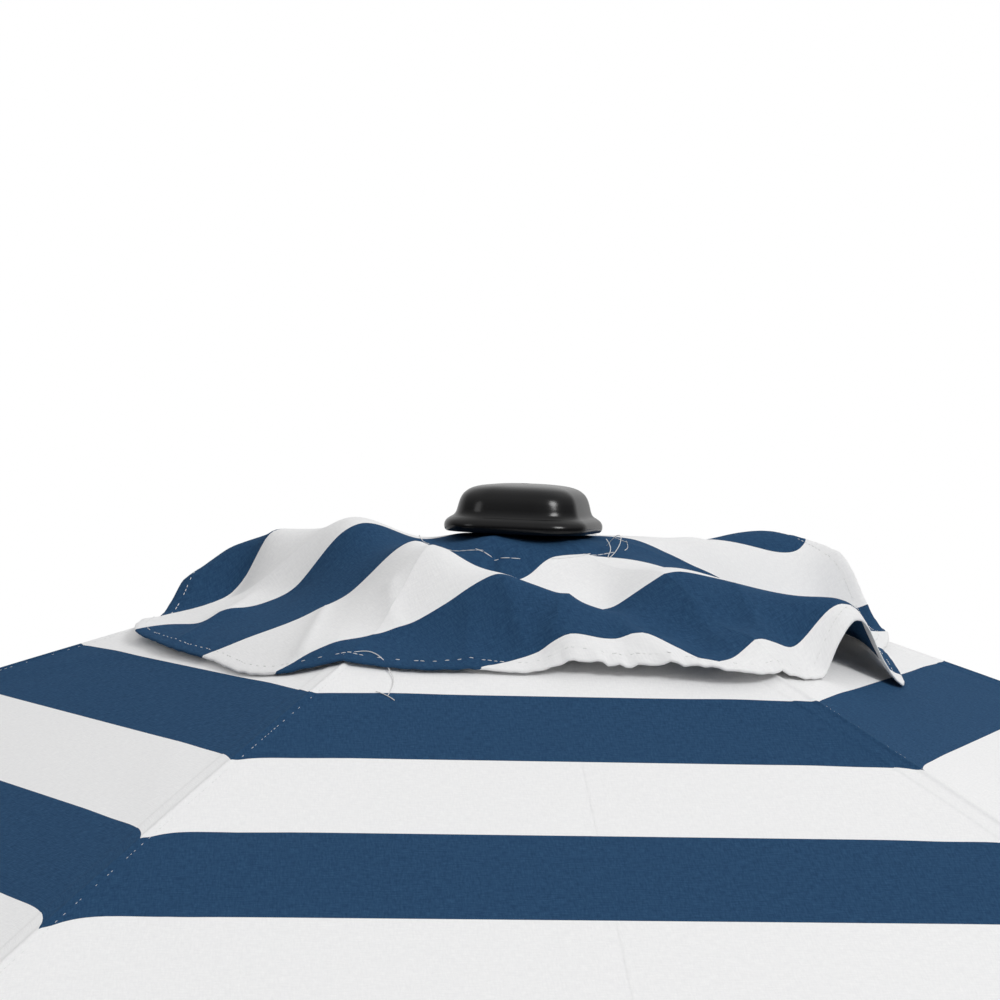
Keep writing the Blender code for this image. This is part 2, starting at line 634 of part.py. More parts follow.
CHEEK_IN = RIB_WIDTH / 2 + GAP
CHEEK_OUT = CHEEK_IN + 0.0014
RIB_OVER_PIN = STRUT_DROP * math.cos(rib_angle(STRUT_R))
BRIDGE_HIGH = RIB_OVER_PIN - RIB_HEIGHT / 2 - 2 * GAP  # over the bracket's pin
BRIDGE_LOW = BRIDGE_HIGH - 0.0014
BRACKET_TOP = RIB_OVER_PIN + 0.0020
BRACKET_OUTLINE = arc((0, 0), 0.0050, 180, 360, 6) + [(0.0100, BRACKET_TOP - 0.004), (0.0100, BRACKET_TOP),
                                                     (-0.0100, BRACKET_TOP), (-0.0100, BRACKET_TOP - 0.004)]
bracket_mesh = prism("bracket", BRACKET_OUTLINE, CHEEK_OUT)
bracket_low = block("strut gap", (-0.03, -CHEEK_IN, -0.02), (0.03, CHEEK_IN, BRIDGE_LOW))
bracket_high = block("rib gap", (-0.03, -CHEEK_IN, BRIDGE_HIGH), (0.03, CHEEK_IN, 0.03))
bracket_pin = turned("bracket pin", [(0, -CHEEK_OUT - 0.0010), (BRACKET_PIN_R, -CHEEK_OUT - 0.0010),
                                     (BRACKET_PIN_R, CHEEK_OUT + 0.0010), (0, CHEEK_OUT + 0.0010)], 10, "Y")

TIP_R = 0.0085
TIP_SOCKET = 0.0120
TIP_PROFILE = [
    (0, -TIP_SOCKET), (TIP_R - 0.001, -TIP_SOCKET), (TIP_R, -TIP_SOCKET + 0.001), (TIP_R, 0.003),
    (0.0075, 0.0070), (0.0050, 0.0102), (0, 0.0115),
]
tip_mesh = turned("rib tip", TIP_PROFILE, 14, "X")
half_w, half_h = RIB_WIDTH / 2 + GAP, RIB_HEIGHT / 2 + GAP
tip_socket = block("tip socket", (-0.02, -half_w, -half_h), (GAP, half_w, half_h))

canopy_mesh = wedge_mesh("canopy cloth", stations(CANOPY_INNER_R, CANOPY_OUTER_R, 9), canopy_z)
vent_radii = [VENT_INNER_R] + stations(VENT_PLATEAU_R, VENT_OUTER_R, 5)
vent_mesh = wedge_mesh("vent cloth", vent_radii, vent_height)

for k in range(RIB_COUNT):
    number = k + 1
    turn = math.tau * k / RIB_COUNT
    at = (PIVOT_R * math.cos(turn), PIVOT_R * math.sin(turn), crown_z)
    rib_pivot = pivot(f"rib_{number} pivot", at, tilt, turn)

    rib = add(f"rib_{number}", rib_mesh, "painted steel", rib_pivot)
    soften(rib, 0.0012)
    cut(rib, eye_hole)

    end = (RIB_END_R - PIVOT_R, 0, rib_z(RIB_END_R) - PIVOT_Z)
    tip = add(f"rib_tip_{number}", tip_mesh, "black plastic", rib_pivot, end)
    tip.rotation_euler = (0, rib_angle(RIB_END_R), 0)
    cut(tip, tip_socket)

    bracket = add(f"rib_bracket_{number}", bracket_mesh, "steel", rib_pivot, (STRUT_DX, 0, STRUT_DZ))
    bracket.rotation_euler = (0, rib_angle(STRUT_R), 0)
    cut(bracket, bracket_low)
    cut(bracket, bracket_high)
    join(bracket, bracket_pin)

    strut_pivot = pivot(f"strut_{number} pivot", (STRUT_DX, 0, STRUT_DZ), rib_pivot)
    strut = add(f"strut_{number}", strut_mesh, "painted steel", strut_pivot)
    soften(strut, 0.0010)
    cut(strut, bracket_hole)
    join(strut, strut_pin)
    strut.modifiers[-1].object.location = (far_eye[0], 0, far_eye[1])

    add(f"canopy_section_{number}", canopy_mesh, "canopy cloth", rib_pivot)
    add(f"vent_section_{number}", vent_mesh, "canopy cloth", rib_pivot)
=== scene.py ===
"""Finished look of a six-rib beach umbrella: striped polyester canopy, loose vent flap, black moulded finial,
powder-coated ribs and an anodised pole on a moulded sand anchor."""

import json
import math

import bmesh
import bpy
import numpy as np
from mathutils import Matrix, Vector

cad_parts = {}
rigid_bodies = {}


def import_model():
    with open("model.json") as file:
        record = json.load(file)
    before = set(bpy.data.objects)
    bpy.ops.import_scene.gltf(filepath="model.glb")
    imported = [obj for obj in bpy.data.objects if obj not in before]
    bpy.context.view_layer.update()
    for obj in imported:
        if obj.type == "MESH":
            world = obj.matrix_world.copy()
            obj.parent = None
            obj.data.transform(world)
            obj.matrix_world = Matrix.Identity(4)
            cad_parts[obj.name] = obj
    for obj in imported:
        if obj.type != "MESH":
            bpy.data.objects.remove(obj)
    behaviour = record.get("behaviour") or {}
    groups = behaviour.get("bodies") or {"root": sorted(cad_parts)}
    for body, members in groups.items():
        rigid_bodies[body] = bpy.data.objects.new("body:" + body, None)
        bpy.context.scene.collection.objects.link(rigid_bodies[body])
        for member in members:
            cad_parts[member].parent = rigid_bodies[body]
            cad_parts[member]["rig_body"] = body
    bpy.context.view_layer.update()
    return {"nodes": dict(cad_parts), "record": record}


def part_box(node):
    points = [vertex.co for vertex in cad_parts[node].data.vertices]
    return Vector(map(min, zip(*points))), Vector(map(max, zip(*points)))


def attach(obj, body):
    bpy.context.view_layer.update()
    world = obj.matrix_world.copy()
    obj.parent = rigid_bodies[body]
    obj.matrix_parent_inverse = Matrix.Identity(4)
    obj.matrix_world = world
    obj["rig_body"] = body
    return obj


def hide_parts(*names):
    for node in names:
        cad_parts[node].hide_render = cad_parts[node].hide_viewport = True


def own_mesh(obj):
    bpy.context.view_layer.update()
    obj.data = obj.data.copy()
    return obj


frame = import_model()
scene = bpy.context.scene


# Studio: the umbrella stands open on a pale floor in front of a white cyclorama. A large softbox lights it
# from the front right and a weaker one fills from the left.

FLOOR_RADIUS = 20.0
CAMERA_PLACE = (-0.2127, -1.9570, 2.4870)
CAMERA_HEADING = 5.633
CAMERA_DOWN = 2.031
CAMERA_ROLL = 1.706
CAMERA_LENS = 89.16
CEILING_RISE = (0.05, 0.75)  # upward share of a direction, from where the ceiling's light begins to its full
CEILING_LIGHT = (0.04, 0.73)
WALL_RISE = (0.2, 0.8)  # the same for the wall behind the umbrella
WALL_LIGHT = (0.0, 0.75)


def colour(code):
    """Linear red, green, blue and alpha of an sRGB hex colour."""
    channels = [int(code[i:i + 2], 16) / 255 for i in (1, 3, 5)]
    return (*[c / 12.92 if c <= 0.04045 else ((c + 0.055) / 1.055) ** 2.4 for c in channels], 1.0)


def add_node(tree, kind, inputs=None, **settings):
    """Adds a node. inputs maps a socket's name or number to a value, or to the output it is fed from."""
    made = tree.nodes.new(kind)
    for name, value in settings.items():
        setattr(made, name, value)
    for socket, value in (inputs or {}).items():
        if isinstance(value, bpy.types.NodeSocket):
            tree.links.new(value, made.inputs[socket])
        else:
            made.inputs[socket].default_value = value
    return made


def new_material(name, **finish):
    """A material with a Principled shader; finish gives the shader's even values, such as Roughness."""
    made = bpy.data.materials.new(name)
    made.use_nodes = True
    shader = made.node_tree.nodes["Principled BSDF"]
    for socket, value in finish.items():
        shader.inputs[socket.replace("_", " ")].default_value = value
    return made, made.node_tree, shader


camera_data = bpy.data.cameras.new("camera")
camera_data.lens = CAMERA_LENS
camera_data.sensor_width = 36
camera_data.clip_end = 200
camera = bpy.data.objects.new("camera", camera_data)
scene.collection.objects.link(camera)
heading = Matrix.Rotation(math.radians(-CAMERA_HEADING), 4, "Z")
tilt = Matrix.Rotation(math.radians(90 - CAMERA_DOWN), 4, "X")
roll = Matrix.Rotation(math.radians(CAMERA_ROLL), 4, "Z")
camera.matrix_world = Matrix.Translation(CAMERA_PLACE) @ heading @ tilt @ roll
scene.camera = camera
scene.view_settings.view_transform = "Standard"

floor_mesh = bpy.data.meshes.new("floor")
floor_bm = bmesh.new()
bmesh.ops.create_circle(floor_bm, cap_ends=True, segments=96, radius=FLOOR_RADIUS)
floor_bm.to_mesh(floor_mesh)
floor_bm.free()
floor = bpy.data.objects.new("floor", floor_mesh)
scene.collection.objects.link(floor)
floor_mesh.materials.append(new_material("pale floor", Base_Color=colour("#f2f2f0"), Roughness=0.8)[0])

world = bpy.data.worlds.new("white cyclorama")
world.use_nodes = True
scene.world = world
sky = world.node_tree
ray = add_node(sky, "ShaderNodeLightPath")
ray_direction = add_node(sky, "ShaderNodeNewGeometry")
ray_axes = add_node(sky, "ShaderNodeSeparateXYZ", {0: ray_direction.outputs["Position"]})
lit = []
for axis, rise, strength in (("Z", CEILING_RISE, CEILING_LIGHT), ("Y", WALL_RISE, WALL_LIGHT)):
    lit.append(add_node(sky, "ShaderNodeMapRange", {0: ray_axes.outputs[axis], 1: rise[0], 2: rise[1],
                                                    3: strength[0], 4: strength[1]}))
room = add_node(sky, "ShaderNodeMath", {0: lit[0].outputs[0], 1: lit[1].outputs[0]}, operation="MAXIMUM")
fill_light = sky.nodes["Background"]
fill_light.inputs["Color"].default_value = (1, 1, 1, 1)
sky.links.new(room.outputs[0], fill_light.inputs["Strength"])
backdrop = add_node(sky, "ShaderNodeBackground", {"Color": (1, 1, 1, 1), "Strength": 1.0})
shown = add_node(sky, "ShaderNodeMixShader", {
    0: ray.outputs["Is Camera Ray"], 1: fill_light.outputs[0], 2: backdrop.outputs[0],
})
sky.links.new(shown.outputs[0], sky.nodes["World Output"].inputs["Surface"])

for light_name, place, size, power in (
    ("key softbox", (3.4, -4.2, 6.4), 2.2, 190),
    ("left softbox", (-5.0, -2.5, 4.5), 2.0, 20),
):
    light_data = bpy.data.lights.new(light_name, "AREA")
    light_data.shape = "DISK"
    light_data.size = size
    light_data.energy = power
    light = bpy.data.objects.new(light_name, light_data)
    scene.collection.objects.link(light)
    light.location = place
    aim = Vector((0, 0, 2.2)) - light.location
    light.rotation_euler = aim.to_track_quat("-Z", "Y").to_euler()


# Main canopy: six gores of navy and white striped polyester, sewn along the ribs. Each piece here is half a
# gore, from a rib to the gore's middle on its left or right, and moves with its rib. The stripes
# run straight across a gore, and bend outward where the cloth climbs over the seam.

RIBS = 6
HALF_GORE = math.pi / RIBS
APEX_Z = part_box("finial")[0].z + 0.0071  # where the gores would meet, inside the finial's foot
ROOT_SLOPE = math.tan(math.radians(15.9))
RIB_BEND = 0.0562
STRIPE_PITCH = 0.0847  # width of a stripe in plan; along the cloth it grows from 0.0906 to 0.0931
FIRST_STRIPE = 0.2978  # from the pole's axis to the first navy stripe, in the middle of a gore
HOLE_R = 0.170
HEM_R = 1.066
CLOTH_THICKNESS = 0.0006
HEM_WIDTH = 0.018
SEAM_ALLOWANCE = 0.016
SEAM_HEIGHT = 0.0013
SEAM_HALF_WIDTH = 0.0024
OVERLAP = 0.0015  # each piece reaches this far under the next one, in a gore's middle
SEAM_DRAG = 0.0018  # how much further out a stripe's edge meets the seam, at the first stripe
SEAM_DRAG_STEP = 0.0041  # and what each stripe adds to that
MOST_DRAG = 0.0145
DRAG_REACH = 0.009
SEAM_ZONE = 0.036  # cloth this near a seam has finer columns
ALLOWANCE_LIFT = 0.0005
SEAM_SLACK = 0.0006
HEM_RIPPLE = 0.0008
HEM_LIFT = 0.0006
LAP_DROP = 0.00006
THREAD_SLUB = 0.0012  # drawn three times as coarse as the real 0.4 mm threads, so that it shows
THREAD_RUN = 0.006


def canopy_z(rib_radius):
    """Height of the main canopy; rib_radius is the distance along a rib of the same ring of cloth."""
    return APEX_Z - ROOT_SLOPE * rib_radius - RIB_BEND * rib_radius**2


def grid_mesh(name, points, uvs, material):
    """A sheet of quads through a grid of points, its faces pointing to the left of rows then columns."""
    rows, columns = points.shape[:2]
    mesh = bpy.data.meshes.new(name)
    index = np.arange(rows * columns).reshape(rows, columns)
    quads = np.stack([index[:-1, :-1], index[1:, :-1], index[1:, 1:], index[:-1, 1:]], -1).reshape(-1, 4)
    mesh.from_pydata(points.reshape(-1, 3).tolist(), [], quads.tolist())
    layer = mesh.uv_layers.new(name="cloth")
    layer.data.foreach_set("uv", uvs.reshape(-1, 2)[quads.ravel()].astype(np.float32).ravel())
    mesh.materials.append(material)
    mesh.shade_smooth()
    bm = bmesh.new()
    bm.from_mesh(mesh)
    for edge in bm.edges:
        edge.smooth = not edge.is_boundary
    bm.to_mesh(mesh)
    bm.free()
    return mesh


def add_piece(name, shape):
    made = bpy.data.objects.new(name, shape)
    scene.collection.objects.link(made)
    return made


def give_thickness(piece):
    thicken = piece.modifiers.new("cloth", "SOLIDIFY")
    thicken.thickness = CLOTH_THICKNESS
    thicken.offset = 0


HANDS = {"left": 1, "right": -1}  # sides of a rib, looking out along it


def ride_on_rib(piece, number, side):
    """The piece moves with its rib. Half a gore is almost a flat triangle from the rib to the gore's middle."""
    turn = 2 * HALF_GORE * (number - 1)
    drop = canopy_z(HEM_R) - APEX_Z
    apothem = HEM_R * math.cos(HALF_GORE)
    rib_end = Vector((HEM_R * math.cos(turn), HEM_R * math.sin(turn), drop))
    hem_middle = Vector((apothem * math.cos(turn + side * HALF_GORE),
                         apothem * math.sin(turn + side * HALF_GORE), drop))
    out_of_rib = hem_middle - hem_middle.project(rib_end)
    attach(piece, f"rib_{number}")
    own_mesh(piece)


def striped_cloth():
    """Woven polyester, piece-dyed in stripes: matt, with fine slubs both ways that catch the light. The
    map's V runs across the stripes, in metres, from the near edge of a navy one."""
    material, tree, shader = new_material("striped polyester", Roughness=0.85, Specular_IOR_Level=0.03,
                                          Subsurface_Weight=0.3, Subsurface_Scale=0.001,
                                          Subsurface_Radius=(1, 1, 1))
    cloth_map = add_node(tree, "ShaderNodeUVMap", uv_map="cloth")
    axes = add_node(tree, "ShaderNodeSeparateXYZ", {0: cloth_map.outputs[0]})
    stripe = add_node(tree, "ShaderNodeMath", {0: axes.outputs["Y"], 1: 2 * STRIPE_PITCH}, operation="DIVIDE")
    share = add_node(tree, "ShaderNodeMath", {0: stripe.outputs[0]}, operation="FRACT")
    is_white = add_node(tree, "ShaderNodeMath", {0: share.outputs[0], 1: 0.5}, operation="GREATER_THAN")
    slubs = []
    for scale in ((1 / THREAD_SLUB, 1 / THREAD_RUN, 1), (1 / THREAD_RUN, 1 / THREAD_SLUB, 1)):
        placed = add_node(tree, "ShaderNodeMapping", {"Vector": cloth_map.outputs[0], "Scale": scale})
        slubs.append(add_node(tree, "ShaderNodeTexNoise", {"Vector": placed.outputs[0], "Scale": 1.0,
                                                           "Detail": 2.0, "Roughness": 0.6}))
    weave = add_node(tree, "ShaderNodeMath", {0: slubs[0].outputs["Fac"], 1: slubs[1].outputs["Fac"]},
                     operation="MULTIPLY")
    navy = add_node(tree, "ShaderNodeValToRGB", {0: weave.outputs[0]})
    navy.color_ramp.elements[0].position = 0.10
    navy.color_ramp.elements[0].color = colour("#24405f")
    navy.color_ramp.elements[1].position = 0.46
    navy.color_ramp.elements[1].color = colour("#325475")
    white = add_node(tree, "ShaderNodeValToRGB", {0: weave.outputs[0]})
    white.color_ramp.elements[0].position = 0.05
    white.color_ramp.elements[0].color = colour("#ebebec")
    white.color_ramp.elements[1].position = 0.50
    white.color_ramp.elements[1].color = colour("#f7f7f7")
    dyed = add_node(tree, "ShaderNodeMix", {0: is_white.outputs[0], 6: navy.outputs[0], 7: white.outputs[0]},
                    data_type="RGBA")
    tree.links.new(dyed.outputs[2], shader.inputs["Base Color"])
    bump = add_node(tree, "ShaderNodeBump", {"Height": weave.outputs[0], "Strength": 0.35,
                                             "Distance": 0.0006})
    tree.links.new(bump.outputs[0], shader.inputs["Normal"])
    return material


cloth = striped_cloth()


def bell(distance, reach):
    return np.exp(-(distance / reach) ** 2)


def smooth_step(low, high, value):
    t = np.clip((value - low) / (high - low), 0, 1)
    return t * t * (3 - 2 * t)


def canopy_sheet(number, hand, side):
    """Cloth on one side of a rib, with the raised seam, its allowance folded to one side and the hem."""
    spread = math.tan(HALF_GORE)
    apothems = np.linspace(HOLE_R, HEM_R, 92) * math.cos(HALF_GORE)
    from_seam = np.r_[0, 0.8, 1.6, 2.4, 3.6, 5, 7, 9, 12, 14.5, 15.5, 16.5, 18, 22, 28] / 1000
    points, uvs = [], []
    turn = 2 * HALF_GORE * (number - 1)
    for apothem in apothems:
        half = apothem * spread
        wide = np.linspace(SEAM_ZONE, half, 16)
        reach = np.r_[from_seam, wide] if half > SEAM_ZONE else np.linspace(0, half, 31)
        away = np.r_[reach, half + OVERLAP] if side > 0 else reach[::-1]
        # A gore's own axes: outward from the pole to the gore's middle, and sideways from that middle.
        gore = number - 1 if side > 0 else (number - 2) % RIBS
        heading = turn + side * HALF_GORE
        sideways = (half - away) * -side
        lift = SEAM_HEIGHT * bell(away, SEAM_HALF_WIDTH)
        folded = 1 - smooth_step(SEAM_ALLOWANCE - 0.001, SEAM_ALLOWANCE + 0.001, away)
        lift += ALLOWANCE_LIFT * folded * smooth_step(0, 0.0015, away) * (side < 0)
        lift += SEAM_SLACK * np.sin(apothem * 60 + away * 35) * bell(away - 0.05, 0.03)
        lift += HEM_RIPPLE * np.sin(sideways * 47 + gore * 1.7) * smooth_step(0.78, 0.93, apothem)
        hem = smooth_step(apothems[-1] - HEM_WIDTH, apothems[-1] - HEM_WIDTH + 0.002, np.array(apothem))
        lift += HEM_LIFT * hem
        x = apothem * np.cos(heading) - sideways * np.sin(heading)
        y = apothem * np.sin(heading) + sideways * np.cos(heading)
        z = canopy_z(apothem / math.cos(HALF_GORE)) + lift
        if side > 0:
            z[-1] -= LAP_DROP
        points.append(np.stack([x, y, z], -1))
        drag = SEAM_DRAG + SEAM_DRAG_STEP * (apothem - FIRST_STRIPE) / STRIPE_PITCH
        dragged = min(max(drag, 0), MOST_DRAG) * np.exp(-away / DRAG_REACH)
        uvs.append(np.stack([sideways + 2.0 * gore, apothem - dragged - FIRST_STRIPE], -1))
    return grid_mesh(f"canopy_{number}_{hand}", np.array(points), np.array(uvs), cloth)


for number in range(1, RIBS + 1):
    for hand, side in HANDS.items():
        canopy = add_piece(f"canopy_{number}_{hand}", canopy_sheet(number, hand, side))
        give_thickness(canopy)
        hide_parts(f"canopy_section_{number}")
        ride_on_rib(canopy, number, side)


# Vent flap: one hexagon of the same cloth over the hole in the canopy, held only under the finial and tacked
# at the ribs. It is cut generously, so it stands up in soft folds and its hem lifts in places. The folds are
# given by spots along each crest and hollow, in millimetres from the canopy's virtual apex, and a thin bent
# plate through them makes the sheet. The stripes' edges are given by a few places that each one passes.

FLAP_SPOTS = {
    "under the finial": [(0, 0, -9), (50, 0, -10), (-50, 0, -10), (0, 50, -10), (0, -50, -12),
                         (-40, -52, -12), (45, -42, -12)],
    "round the finial": [(-15, -97, -34), (11, -80, -23), (48, -69, -22), (-60, -60, -22),
                         (-80, -20, -17), (-88, 35, -24)],
    "left puff": [(-138, -5, 0), (-184, 65, -15), (-233, 85, -31), (-264, 65, -53), (-202, 52, -18),
                  (-130, -24, -3)],
    "left puff's front": [(-148, -29, -13), (-178, -38, -51), (-205, -46, -69), (-230, -53, -71),
                          (-251, -59, -82), (-218, 48, -50), (-231, 44, -66), (-258, 36, -77)],
    "left crest": [(-93, -110, -11), (-74, -152, -14), (-40, -190, -30), (-9, -200, -38), (38, -210, -53),
                   (68, -225, -66), (99, -255, -78)],
    "left crest's front": [(-123, -119, -33), (-141, -125, -50), (-164, -131, -63), (-190, -139, -74),
                           (-216, -146, -83), (-72, -202, -48), (-100, -210, -63), (-127, -222, -73),
                           (-154, -230, -77), (-172, -235, -86)],
    "hollow behind the left crest": [(44, -168, -57), (0, -140, -56), (-45, -122, -43), (-64, -120, -28),
                                     (57, -164, -49), (15, -118, -46)],
    "right crest": [(99, -150, -27), (141, -138, -35), (178, -142, -42), (207, -146, -48), (233, -170, -53)],
    "hollow before the right crest": [(71, -160, -40), (95, -215, -68), (130, -200, -60)],
    "front hem": [(-56, -270, -89), (-16, -255, -81), (7, -253, -66), (42, -247, -69), (60, -247, -64),
                  (84, -263, -74), (106, -277, -81), (146, -237, -68), (162, -226, -73), (0, -275, -86),
                  (50, -275, -85), (-110, -270, -91)],
    "tunnel at the right": [(192, -225, -97), (204, -215, -80), (219, -195, -56), (236, -180, -62),
                            (250, -165, -84), (262, -158, -100)],
    "slope behind the right crest": [(96, 42, -14), (122, 49, -24), (147, 57, -35), (181, 67, -50),
                                     (262, 90, -66), (150, -60, -46), (210, -60, -66), (270, -90, -88),
                                     (80, -20, -18)],
    "lifted hem at the back right": [(199, 160, -13), (225, 172, -11), (240, 170, -11), (258, 158, -14),
                                     (268, 135, -20), (283, 110, -30), (296, 80, -55), (299, 40, -77),
                                     (120, 65, -16), (158, 95, -15), (222, 115, -28), (140, 130, -24)],
    "back left": [(-240, 130, -62), (-200, 140, -46), (-275, 85, -68), (-150, 90, -24)],
    "back": [(60, 200, -45), (120, 240, -62), (0, 260, -80), (-80, 240, -66), (-160, 230, -78),
             (-130, 150, -30), (200, 230, -60), (0, 130, -34), (60, 110, -24)],
    "left hem": [(-300, -24, -86), (-285, -81, -92), (-250, -158, -98), (-285, 28, -84), (-194, -239, -99)],
}
STRIPE_EDGES = {  # number of the edge, counted toward the front from the navy stripe under the finial
    -1: [(-202, 52), (-231, 44), (-285, 28), (-100, 80), (0, 115), (100, 118), (180, 122), (222, 120),
         (250, 128), (262, 150), (266, 175)],
    0: [(-130, -24), (-178, -38), (-230, -53), (-251, -59), (0, 18), (96, 42), (181, 67), (262, 80),
        (290, 66), (-280, -34)],
    1: [(-93, -110), (-141, -125), (-190, -139), (-238, -153), (-50, -124), (-15, -112), (5, -88), (14, -79),
        (48, -69), (110, -50), (190, -20), (290, 10)],
    2: [(-40, -192), (-72, -202), (-127, -222), (-194, -239), (44, -168), (99, -150), (200, -110),
        (290, -70)],
    3: [(-56, -270), (-16, -255), (7, -253), (25, -252), (42, -247), (60, -247), (84, -263), (106, -276),
        (128, -255), (146, -236), (162, -226), (181, -207), (224, -176), (246, -168), (275, -130)],
    4: [(150, -340), (0, -370)],
}
FLAP_OUTLINE = [  # azimuth in degrees and distance of the hem from the pole's axis
    (0, 298), (10, 303), (20, 308), (30, 303), (45, 290), (60, 300), (90, 285), (120, 303), (150, 280),
    (166, 278), (174, 287), (185, 304), (196, 296), (213, 292), (230, 309), (247, 290), (258, 276),
    (270, 271), (281, 279), (296, 310), (310, 297), (318, 294), (325, 297), (330, 312), (345, 285),
]
FLAP_CREASES = [  # from, to, height and half width of the sharper folds, in millimetres
    ((-35, -200), (-25, -248), 3.0, 9), ((12, -202), (-5, -246), 2.6, 8),
    ((-114, -172), (-114, -210), 2.2, 8), ((-160, -140), (-178, -226), 2.4, 9),
    ((142, -150), (151, -212), 2.2, 6), ((-29, -72), (-33, -98), -3.0, 5),
    ((104, -186), (117, -235), 1.8, 9), ((-60, -214), (-64, -258), 1.8, 7),
    ((200, -60), (240, -120), 1.6, 9), ((-215, -20), (-262, -95), 1.6, 9),
    ((150, 20), (236, 62), 1.8, 9), ((48, -205), (50, -243), 1.6, 5),
]
FLAP_HOLE = 0.012
FLAP_ROWS = 84
FLAP_COLUMNS = 36
FLAP_HEM = 0.009
FLAP_CLEARANCE = 0.0028  # kept over the main canopy
CREASE_GAIN = 1.9
CREASE_SPREAD = 0.8
CREASE_ROUNDING = 0.0012
SETTLING = 0.002  # how softly the flap comes to rest on the canopy
MM = 0.001


def bent_plate(places, values, give):
    """A smooth function of x and y through values at places: a thin elastic plate, with a little give."""
    knots = np.array(places, float) * 10  # decimetres keep the numbers near one
    count = len(knots)

    def pull(apart):
        return np.where(apart > 0, apart**2 * np.log(np.maximum(apart, 1e-9)), 0)

    system = np.zeros((count + 3, count + 3))
    system[:count, :count] = pull(np.linalg.norm(knots[:, None] - knots[None], axis=2)) + give * np.eye(count)
    system[:count, count] = 1
    system[:count, count + 1:] = knots
    system[count:, :count] = system[:count, count:].T
    weights = np.linalg.solve(system, np.r_[np.array(values, float), 0, 0, 0])

    def plate(x, y):
        at = np.stack([x, y], -1) * 10
        apart = np.linalg.norm(at[..., None, :] - knots, axis=-1)
        return pull(apart) @ weights[:count] + weights[count] + at @ weights[count + 1:]

    return plate


def canopy_drop(x, y):
    """How far the main canopy lies below its virtual apex, at a place in plan."""
    middles = [HALF_GORE * (2 * k + 1) for k in range(RIBS)]
    apothem = np.max([x * math.cos(a) + y * math.sin(a) for a in middles], axis=0)
    rib_radius = np.maximum(apothem, 0) / math.cos(HALF_GORE)
    return ROOT_SLOPE * rib_radius + RIB_BEND * rib_radius**2


def round_curve(stations, angle):
    """A smooth closed curve through (degrees, value) stations, read at angles in radians."""
    known = np.array(stations, float)
    degrees = np.r_[known[:, 0] - 360, known[:, 0], known[:, 0] + 360]
    values = np.tile(known[:, 1], 3)
    at = np.degrees(angle) % 360
    i = np.searchsorted(degrees, at) - 1
    width = degrees[i + 1] - degrees[i]
    u = (at - degrees[i]) / width
    start_slope = (values[i + 1] - values[i - 1]) / (degrees[i + 1] - degrees[i - 1]) * width
    end_slope = (values[i + 2] - values[i]) / (degrees[i + 2] - degrees[i]) * width
    return ((2 * u**3 - 3 * u**2 + 1) * values[i] + (u**3 - 2 * u**2 + u) * start_slope
            + (3 * u**2 - 2 * u**3) * values[i + 1] + (u**3 - u**2) * end_slope)


spots = np.array([spot for fold in FLAP_SPOTS.values() for spot in fold]) * MM
flap_over_canopy = bent_plate(spots[:, :2], spots[:, 2] + canopy_drop(spots[:, 0], spots[:, 1]), 0.002)
edge_places = [np.array(place) * MM for places in STRIPE_EDGES.values() for place in places]
edge_numbers = [number for number, places in STRIPE_EDGES.items() for _ in places]
flap_stripe = bent_plate(edge_places, edge_numbers, 0.01)


def flap_height(x, y, angle, from_hem):
    """Height of the flap, with the puckers that its stitching draws into the hem."""
    radius = np.hypot(x, y)
    over = flap_over_canopy(x, y)
    floor_height = FLAP_CLEARANCE * smooth_step(0.140, 0.190, radius)
    floor_height = floor_height - 0.004 * (1 - smooth_step(0.06, 0.14, radius))
    over = floor_height + np.logaddexp(0, (over - floor_height) / SETTLING) * SETTLING
    for start, end, height, half_width in FLAP_CREASES:
        along_x, along_y = (end[0] - start[0]) * MM, (end[1] - start[1]) * MM
        share = ((x - start[0] * MM) * along_x + (y - start[1] * MM) * along_y) / (along_x**2 + along_y**2)
        share = np.clip(share, 0, 1)
        apart = np.hypot(x - start[0] * MM - share * along_x, y - start[1] * MM - share * along_y)
        apart = np.sqrt(apart**2 + CREASE_ROUNDING**2)
        over = over + CREASE_GAIN * height * MM * np.exp(-apart / (CREASE_SPREAD * half_width * MM))
    pucker = np.sin(angle * 131) * np.sin(angle * 17 + 0.8)
    pucker = pucker + 0.8 * np.sin(angle * 89 + 1.3) * np.sin(angle * 11)
    over = over + (0.0003 + 0.0011 * bell(angle - math.radians(282), 0.26)) * pucker * bell(from_hem, 0.011)
    return APEX_Z - canopy_drop(x, y) + over


def flap_points(angle, radius, edge):
    """Points of the flap at these azimuths and distances from the pole's axis."""
    x, y = radius * np.cos(angle), radius * np.sin(angle)
    return np.stack([x, y, flap_height(x, y, angle, edge - radius)], -1)


def flap_edge(angle):
    return (round_curve(FLAP_OUTLINE, angle) + 0.25 * np.sin(angle * 53) * np.sin(angle * 19)) * MM


